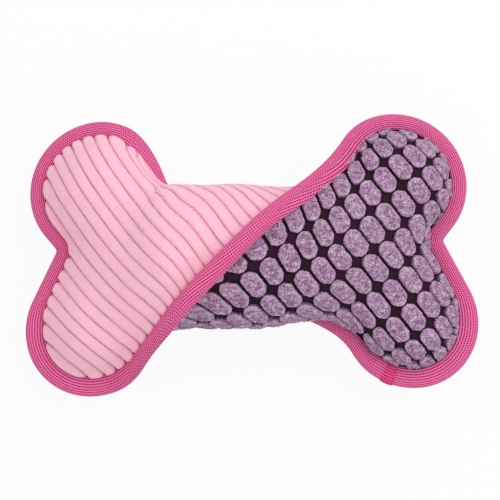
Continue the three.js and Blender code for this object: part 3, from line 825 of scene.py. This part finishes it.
def groundMaterial():
    material, tree, shader = newMaterial("blackGround", Roughness=0.95, Specular_IOR_Level=0.15)
    knit = speckle(tree, 0.8 * mm, 3, 0.6)
    colour = ramp(tree, knit, (0.3, blocks["ground"]), (0.75, blocks["groundLight"]))
    finish(tree, shader, colour, knit, 0.3 * mm)
    return material


def pileMaterial():
    sheen = {"Sheen_Weight": 0.06, "Sheen_Tint": (0.93, 0.78, 0.95, 1)}
    material, tree, shader = newMaterial("purplePile", Roughness=0.95, Specular_IOR_Level=0.3, **sheen)
    strands = speckle(tree, 0.75 * mm, 4, 0.75)
    tufts = speckle(tree, 2.4 * mm, 3, 0.6)
    where = node(tree, "TexCoord").outputs["Object"]
    yarn = node(tree, "TexVoronoi", {"Vector": where, "Scale": 1 / (1.1 * mm)})
    # by the share of a block's height: dark at the foot, a painted shade where the block meets the ground;
    # lighter on the shoulders and back to the middle colour on the crown
    shadingRise = node(tree, "Attribute", attribute_name="pile").outputs["Fac"]
    pale, middle, dark = blocks["pale"], blocks["middle"], blocks["dark"]
    body = ramp(tree, shadingRise, (0.1, blocks["foot"]), (0.45, middle), (0.8, pale), (1.0, middle))
    tone = maths(tree, "MULTIPLY_ADD", tufts, 0.4, maths(tree, "MULTIPLY", strands, 0.8))
    colour = mixColour(tree, ramp(tree, tone, (0.47, 0.9), (0.59, 0.0)), body, dark)
    colour = mixColour(tree, ramp(tree, tone, (0.6, 0.0), (0.71, 0.95)), colour, blocks["tip"])
    lift = maths(tree, "SUBTRACT", maths(tree, "ADD", strands, tufts), yarn.outputs["Distance"])
    finish(tree, shader, colour, lift, 0.55 * mm)
    return material


blockGrid = coverGrid(-1, blocks["step"], blocks["rings"])
settle(blockGrid)
blockGrid["normals"] = gridNormals(blockGrid)
sunk = smooth((blockGrid["height"] - 2.5 * mm) / (3 * mm))
blockGrid["lift"] = stuffingLumps(blockGrid) - blocks["groundDepth"] * sunk
blockGround = addCover("blockGround", blockGrid, blockGrid["lift"], blockGrid["cloth"] / mm)
pileBlocks, blockCount = makeBlocks(blockGrid)
dress(blockGround, groundMaterial(), "pile_blocks", "block_panel")
dress(pileBlocks, pileMaterial(), "pile_blocks")
print("block cover:", blockCount, "blocks,", len(pileBlocks.data.vertices), "points")

# Binding tape: folded over the edges of both covers, ribbed along its length.
tape = {
    "edge": 0.3 * mm,  # where its edges meet the covers
    "half": 4.1 * mm,  # half of its folded thickness
    "channel": 6.6 * mm,
    "ribPitch": 1.12 * mm,
    "ribHeight": 0.3 * mm,
    "rung": 1.25 * mm,  # pitch of the cross threads
    "slant": 15,  # degrees that the ribs slant where the tape crosses the waist
    "crossing": (2 * mm, 58 * mm, 30 * mm),  # middle, half length and fade of that stretch
    "opened": 0.65,  # how much wider it lies there
    "neckDraw": (2.8 * mm, 1.3 * mm),  # how far in and down its lower edge is drawn at the neck
    "channelHalf": 2.4 * mm,
    "middle": 4 * mm,  # its length is measured this far out from the seam
    "step": 0.74 * mm,
    "across": 80,
    "join": 116,  # degrees round the lower right lobe
    "joinSteps": 4,
    "joinLift": 0.7 * mm,
    "rib": (1.0, 0.27, 0.54),
    "ribShade": (0.96, 0.13, 0.38),
    "slit": (0.42, 0.002, 0.1),
    # the lapped end's colours, darker than the tape's: painted shade of its fold
    "joinShadedRib": (0.97, 0.14, 0.36),
    "joinShade": (0.84, 0.045, 0.21),
}


# Section of the tape: how far out from the seam, the height, the way it faces and the length along it.
def tapeSection():
    reach, edge, half = bone["tapeReach"], tape["edge"], tape["half"]
    middle = reach / 2
    fold = directions(np.linspace(math.pi / 2, -math.pi / 2, 60)) * (reach - middle, half) + (middle, 0)
    lead = np.linspace(0, 1, 14)[:-1]
    bulge = half * (0.86 + 0.14 * np.sqrt(1 - (1 - lead) ** 2))
    upper = np.stack([edge + (middle - edge) * lead, bulge], axis=1)
    dense = np.concatenate([upper, fold, (upper * (1, -1))[::-1]])
    length = lengthAlong(dense)
    at = np.linspace(0, length[-1], tape["across"])
    path = np.stack([np.interp(at, length, dense[:, k]) for k in range(2)], axis=1)
    way = np.gradient(path, axis=0)
    facing = np.stack([-way[:, 1], way[:, 0]], axis=1)
    return path, unit(facing), at


# Stations of the tape, starting at its join.
def tapeStations():
    seam, away, _ = outlineStations(tape["step"])
    start = lobe + bone["lobeRadius"] * directions(np.radians([tape["join"]]))[0]
    first = int(np.argmin(np.linalg.norm(seam - start, axis=1)))
    seam, away = np.roll(seam, -first, axis=0), np.roll(away, -first, axis=0)
    return seam, away, lengthAlong(seam + away * tape["middle"])


def tapeSurface(seam, away, length, lift):
    path, facing, at = tapeSection()
    x = seam[:, 0] + bone["lean"] * seam[:, 1]
    middle, reached, fade = tape["crossing"]
    crossing = smooth((reached - np.abs(x - middle)) / fade)
    crossed = np.diff(length) * (crossing * (seam[:, 1] < 0))[1:]
    slant = np.append(0, np.cumsum(crossed)) * math.tan(math.radians(tape["slant"]))
    across = (at[None, :] - at[-1] / 2 + slant[:, None]) / tape["ribPitch"]
    out = lift + tape["ribHeight"] * (np.abs(np.sin(math.pi * across)) ** 0.7 - 0.6)
    wide = 1 + tape["opened"] * overSeam(seam, "opened")[:, None]
    half = bone["tapeReach"] / 2
    onNeck = np.clip((half - path[:, 0]) / half, 0, 1) * (path[:, 1] < 0) * overSeam(seam, "low")[:, None]
    drawnIn, drawnDown = tape["neckDraw"]
    reach = path[:, 0] * (1 + sum(lobeInset(seam, away)) / bone["tapeReach"])[:, None]
    reach = reach + facing[:, 0] * out - drawnIn * onNeck
    height = path[:, 1] * wide + facing[:, 1] * out - drawnDown * onNeck
    return seamPlace(seam, away, reach, height), across


def makeTape():
    seam, away, length = tapeStations()
    points, across = tapeSurface(seam, away, length, 0.0)
    edge, channel, seat = tape["edge"], tape["channel"], tape["channelHalf"]
    inner = np.array([(edge, -seat), (channel, -seat), (channel, seat), (edge, seat)])
    back = seamPlace(seam, away, np.tile(inner[:, 0], (len(seam), 1)), np.tile(inner[:, 1], (len(seam), 1)))
    ring = np.concatenate([points, back], axis=1)
    across = np.concatenate([across, np.tile(across[:, -1:], (1, len(inner)))], axis=1)
    stations, columns = ring.shape[:2]
    ids = gridIds(stations, columns)
    faces = stripFaces(ids, np.roll(ids, -1, axis=0))
    # the last strip runs on to the full length, so that the weave doesn't turn back there
    rungs = np.append(length, length[-1] + tape["step"]) / tape["rung"]
    wide = np.concatenate([across, across[:, :1]], axis=1)
    following = np.concatenate([wide[1:], wide[-1:]])
    here, there = np.tile(rungs[:-1, None], (1, columns)), np.tile(rungs[1:, None], (1, columns))
    corners = [(there, following[:, :-1]), (there, following[:, 1:])]
    corners += [(here, wide[:, 1:]), (here, wide[:, :-1])]
    uv = np.stack([np.stack(corner, axis=-1) for corner in corners], axis=2).reshape(-1, 2)
    return addMesh("bindingTape", ring.reshape(-1, 3), faces, uv)


# The tape's free end, lapped over its start, in darker colours: painted shade of the fold where it laps.
def makeTapeJoin():
    seam, away, _ = tapeStations()
    steps = tape["joinSteps"]
    pick = np.arange(-steps, steps + 1)
    along = pick * tape["step"]
    rounded = np.sqrt(np.clip(1 - np.abs(pick / steps) ** 4, 0, 1))[:, None]
    lift = tape["joinLift"] * rounded + 0.02 * mm
    points, across = tapeSurface(seam[pick], away[pick], along, lift)
    ids = gridIds(*points.shape[:2], False)
    faces = stripFaces(ids[:-1], ids[1:])
    rungs = np.tile(along[:, None] / tape["rung"] + 0.5, (1, points.shape[1]))
    uv = np.stack([rungs, across + 0.5], axis=-1).reshape(-1, 2)
    return addMesh("tapeJoin", points.reshape(-1, 3), faces, perCorner(faces, uv))


def tapeMaterial(name, shade, light):
    sheen = {"Sheen_Weight": 0.04, "Sheen_Tint": (1.0, 0.5, 0.72, 1)}
    material, tree, shader = newMaterial(name, Roughness=0.75, Specular_IOR_Level=0.25, **sheen)
    uv = clothUv(tree)
    rib = fromMiddle(tree, uv[1])
    row = maths(tree, "MULTIPLY", maths(tree, "FLOOR", maths(tree, "ADD", uv[1], 0.5)), 0.5)
    rung = fromMiddle(tree, maths(tree, "ADD", uv[0], row))
    slitAcross = ramp(tree, rib, (0.16, 0.0), (0.34, 1.0))
    slitAlong = ramp(tree, rung, (0.26, 1.0), (0.44, 0.0))
    slit = maths(tree, "MULTIPLY", slitAcross, slitAlong)
    thread = speckle(tree, 0.5 * mm, 2, 0.6)
    colour = ramp(tree, thread, (0.3, shade), (0.7, light))
    colour = mixColour(tree, slit, colour, tape["slit"])
    weave = maths(tree, "SUBTRACT", maths(tree, "MULTIPLY", thread, 0.3), slit)
    finish(tree, shader, colour, weave, 0.3 * mm)
    return material


bindingTape = makeTape()
dress(bindingTape, tapeMaterial("wovenTape", tape["ribShade"], tape["rib"]), "woven_tape", "binding_tape")
tapeJoin = makeTapeJoin()
# the lapped end in darker colours, a painted shade of its fold
dress(tapeJoin, tapeMaterial("shadedTapeEnd", tape["joinShade"], tape["joinShadedRib"]), "woven_tape")
print("binding tape:", len(bindingTape.data.vertices), "points")

# Fibre fill: two lumpy wads that meet across the squeaker.
fill = {
    "voxel": 3 * mm,
    "inset": 3 * mm,  # under the CAD wad's face, clear of the covers' grooves
    "lump": 1.2 * mm,
    "neckHeight": 0.5,  # share pulled in under the neck where the block cover lies low
    "neckWidth": 0.14,
    "light": (0.9, 0.88, 0.84),
    "shade": (0.66, 0.63, 0.58),
}


# Pulled in under the low block cover at the neck, in the turned section's own directions.
def underNeck(points):
    turn, axis = turnAt(points[:, 0]), axisHeightAt(points[:, 0])
    rise = points[:, 2] - axis
    side = points[:, 1] * np.cos(turn) - rise * np.sin(turn)
    high = points[:, 1] * np.sin(turn) + rise * np.cos(turn)
    low = overSeam(np.stack([points[:, 0], side], axis=1), "low") * (high < 0)
    side = side * (1 - fill["neckWidth"] * low)
    high = high * (1 - fill["neckHeight"] * low)
    points[:, 1] = side * np.cos(turn) + high * np.sin(turn)
    points[:, 2] = axis + high * np.cos(turn) - side * np.sin(turn)
    return points


def makeFill(name, nodeName):
    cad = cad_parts[nodeName]
    plain = bpy.data.objects.new(name + "Plain", cad.data.copy())
    plain.data.transform(cad.matrix_world)
    scene.collection.objects.link(plain)
    even = plain.modifiers.new("even", "REMESH")
    even.mode = "VOXEL"
    even.voxel_size = fill["voxel"]
    mesh = bpy.data.meshes.new_from_object(plain.evaluated_get(bpy.context.evaluated_depsgraph_get()))
    bpy.data.objects.remove(plain)
    points, normals = readPoints(mesh, "co"), readPoints(mesh, "normal")
    lumps = 0.5 + 0.5 * softNoise(points, 9 * mm, 5.3) + 0.25 * softNoise(points, 4 * mm, 8.1)
    points = underNeck(points - normals * (fill["inset"] + fill["lump"] * np.clip(lumps, 0, 1.2))[:, None])
    faces = [list(polygon.vertices) for polygon in mesh.polygons]
    bpy.data.meshes.remove(mesh)
    return addMesh(name, points, faces)


def fibreMaterial():
    material, tree, shader = newMaterial("fibreFill", Roughness=0.95, Sheen_Weight=0.3)
    wisps = speckle(tree, 3 * mm, 5, 0.7)
    strands = speckle(tree, 0.7 * mm, 3, 0.7)
    tone = maths(tree, "MULTIPLY_ADD", strands, 0.5, maths(tree, "MULTIPLY", wisps, 0.5))
    finish(tree, shader, ramp(tree, tone, (0.35, fill["shade"]), (0.62, fill["light"])), tone, 0.8 * mm)
    return material


fibreFill = fibreMaterial()
leftFill = makeFill("leftFill", "left_fill")
rightFill = makeFill("rightFill", "right_fill")
dress(leftFill, fibreFill, "fibre_fill", "left_fill")
dress(rightFill, fibreFill, "fibre_fill", "right_fill")
print("fibre fill:", len(leftFill.data.vertices) + len(rightFill.data.vertices), "points")

# Squeaker: a folded bellows between the CAD shells, and the whistle with its reed.
bellows = {
    "place": -8.75 * mm,
    "bottom": 34.25 * mm,
    "top": 52.75 * mm,
    "radius": 20 * mm,
    "foldDepth": 3.2 * mm,
    "wall": 1.2 * mm,
    "folds": 3,
    "perFold": 20,
    "around": 72,
    "pressed": 7.5 / 18.5,  # share of its height left when the toy is bitten
}


def makeBellows():
    share = np.linspace(0, 1, bellows["folds"] * bellows["perFold"] + 1)
    inFold = 0.5 - 0.5 * np.cos(2 * math.pi * bellows["folds"] * share)
    outer = bellows["radius"] - bellows["foldDepth"] * inFold
    level = bellows["bottom"] + (bellows["top"] - bellows["bottom"]) * share
    radius = np.concatenate([outer, (outer - bellows["wall"])[::-1]])
    level = np.concatenate([level, level[::-1]])
    flat = circle(bellows["around"])[:, None, :] * radius[None, :, None] + (bellows["place"], 0)
    points = np.concatenate([flat, np.tile(level[None, :, None], (bellows["around"], 1, 1))], axis=-1)
    ids = gridIds(*points.shape[:2])
    faces = stripFaces(ids, np.roll(ids, -1, axis=0))
    return addMesh("bellowsWall", points.reshape(-1, 3), faces)


def plasticMaterial(name, light, shade, rough, mottle):
    material, tree, shader = newMaterial(name)
    cloudy = speckle(tree, mottle, 3, 0.55)
    scuffs = speckle(tree, 0.35 * mm, 2, 0.6)
    level = ramp(tree, cloudy, (0.3, rough + 0.12), (0.7, rough))
    tree.links.new(level, shader.inputs["Roughness"])
    finish(tree, shader, ramp(tree, cloudy, (0.3, shade), (0.68, light)), scuffs, 0.05 * mm)
    return material


milky = plasticMaterial("milkyBladder", (0.86, 0.88, 0.86), (0.76, 0.79, 0.78), 0.42, 5 * mm)
milky.node_tree.nodes["Principled BSDF"].inputs["Subsurface Weight"].default_value = 0.1
hard = plasticMaterial("hardWhistle", (0.8, 0.82, 0.85), (0.68, 0.71, 0.75), 0.28, 2.5 * mm)
film = plasticMaterial("reedFilm", (0.52, 0.6, 0.66), (0.42, 0.5, 0.56), 0.2, 1.2 * mm)
bellowsWall = makeBellows()
dress(bellowsWall, milky, "bladder", "squeaker_bellows")
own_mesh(bellowsWall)
kept = {
    milky: ("squeaker_base", "squeaker_crown"),
    hard: ("whistle_barrel", "reed_carrier", "reed_clamp"),
    film: ("reed",),
}
for material, names in kept.items():
    for name in names:
        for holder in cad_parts[name].material_slots:
            holder.material = material
print("squeaker:", len(bellowsWall.data.vertices), "points in the bellows")

giveWay(corduroyCover, blockGround, pileBlocks, bindingTape, tapeJoin, leftFill, rightFill)

# Light, floor and camera.
studio = {
    "world": 0.78,
    "keyPower": 3.7,
    "keyPlace": (0.4, 0.35, 0.9),
    "keyAim": (0, 0, 0.03),
    "keySize": 0.8,
    "floor": 0.9,
    "floorHalf": 6.0,
    "floorDrop": 0.2 * mm,
    "glow": 0.92,
}
photo = {
    "pixels": 500,
    "metresPerPixel": 0.5275 * mm,
    "middle": (250.0, 255.2),
    "tilt": 1.5,
    "distance": 1.3,  # over the height at which the outline is seen
    "seenHeight": 0.035,
}


def seenDirectly(tree):
    rays = node(tree, "LightPath").outputs
    seen = maths(tree, "MAXIMUM", rays["Is Camera Ray"], rays["Is Glossy Ray"])
    return maths(tree, "MAXIMUM", seen, rays["Is Transmission Ray"])


def makeStage():
    world = bpy.data.worlds.new("studio")
    scene.world = world
    world.use_nodes = True
    background = world.node_tree.nodes["Background"]
    background.inputs["Color"].default_value = (1, 1, 1, 1)
    seen = seenDirectly(world.node_tree)
    level = maths(world.node_tree, "MULTIPLY_ADD", seen, 1 - studio["world"], studio["world"])
    world.node_tree.links.new(level, background.inputs["Strength"])
    lamp = bpy.data.lights.new("key", "AREA")
    lamp.energy = studio["keyPower"]
    lamp.size = studio["keySize"]
    key = bpy.data.objects.new("key", lamp)
    key.location = studio["keyPlace"]
    key.rotation_euler = (Vector(studio["keyAim"]) - key.location).to_track_quat("-Z", "Y").to_euler()
    scene.collection.objects.link(key)

    size = studio["floorHalf"]
    corners = np.array([(-size, -size, 0), (size, -size, 0), (size, size, 0), (-size, size, 0)])
    floor = addMesh("floor", corners - (0, 0, studio["floorDrop"]), [(0, 1, 2, 3)])
    material, tree, shader = newMaterial("paleFloor", Roughness=0.9)
    shader.inputs["Base Color"].default_value = (studio["floor"],) * 3 + (1,)
    glow = node(tree, "Emission", {"Color": (1, 1, 1, 1), "Strength": 1.0})
    share = maths(tree, "MULTIPLY", seenDirectly(tree), studio["glow"])
    blend = node(tree, "MixShader", {0: share, 1: shader.outputs[0], 2: glow.outputs[0]})
    tree.links.new(blend.outputs[0], tree.nodes["Material Output"].inputs["Surface"])
    floor.data.materials.append(material)


def makeCamera():
    data = bpy.data.cameras.new("photoCamera")
    camera = bpy.data.objects.new("photoCamera", data)
    scene.collection.objects.link(camera)
    data.sensor_width = 36
    data.lens = data.sensor_width * photo["distance"] / (photo["pixels"] * photo["metresPerPixel"])
    offset = (np.array(photo["middle"]) - photo["pixels"] / 2) * photo["metresPerPixel"]
    camera.location = (-offset[0], offset[1], photo["distance"] + photo["seenHeight"])
    camera.rotation_euler = (0, 0, -math.radians(photo["tilt"]))
    scene.camera = camera


makeStage()
makeCamera()
scene.view_settings.view_transform = "Standard"
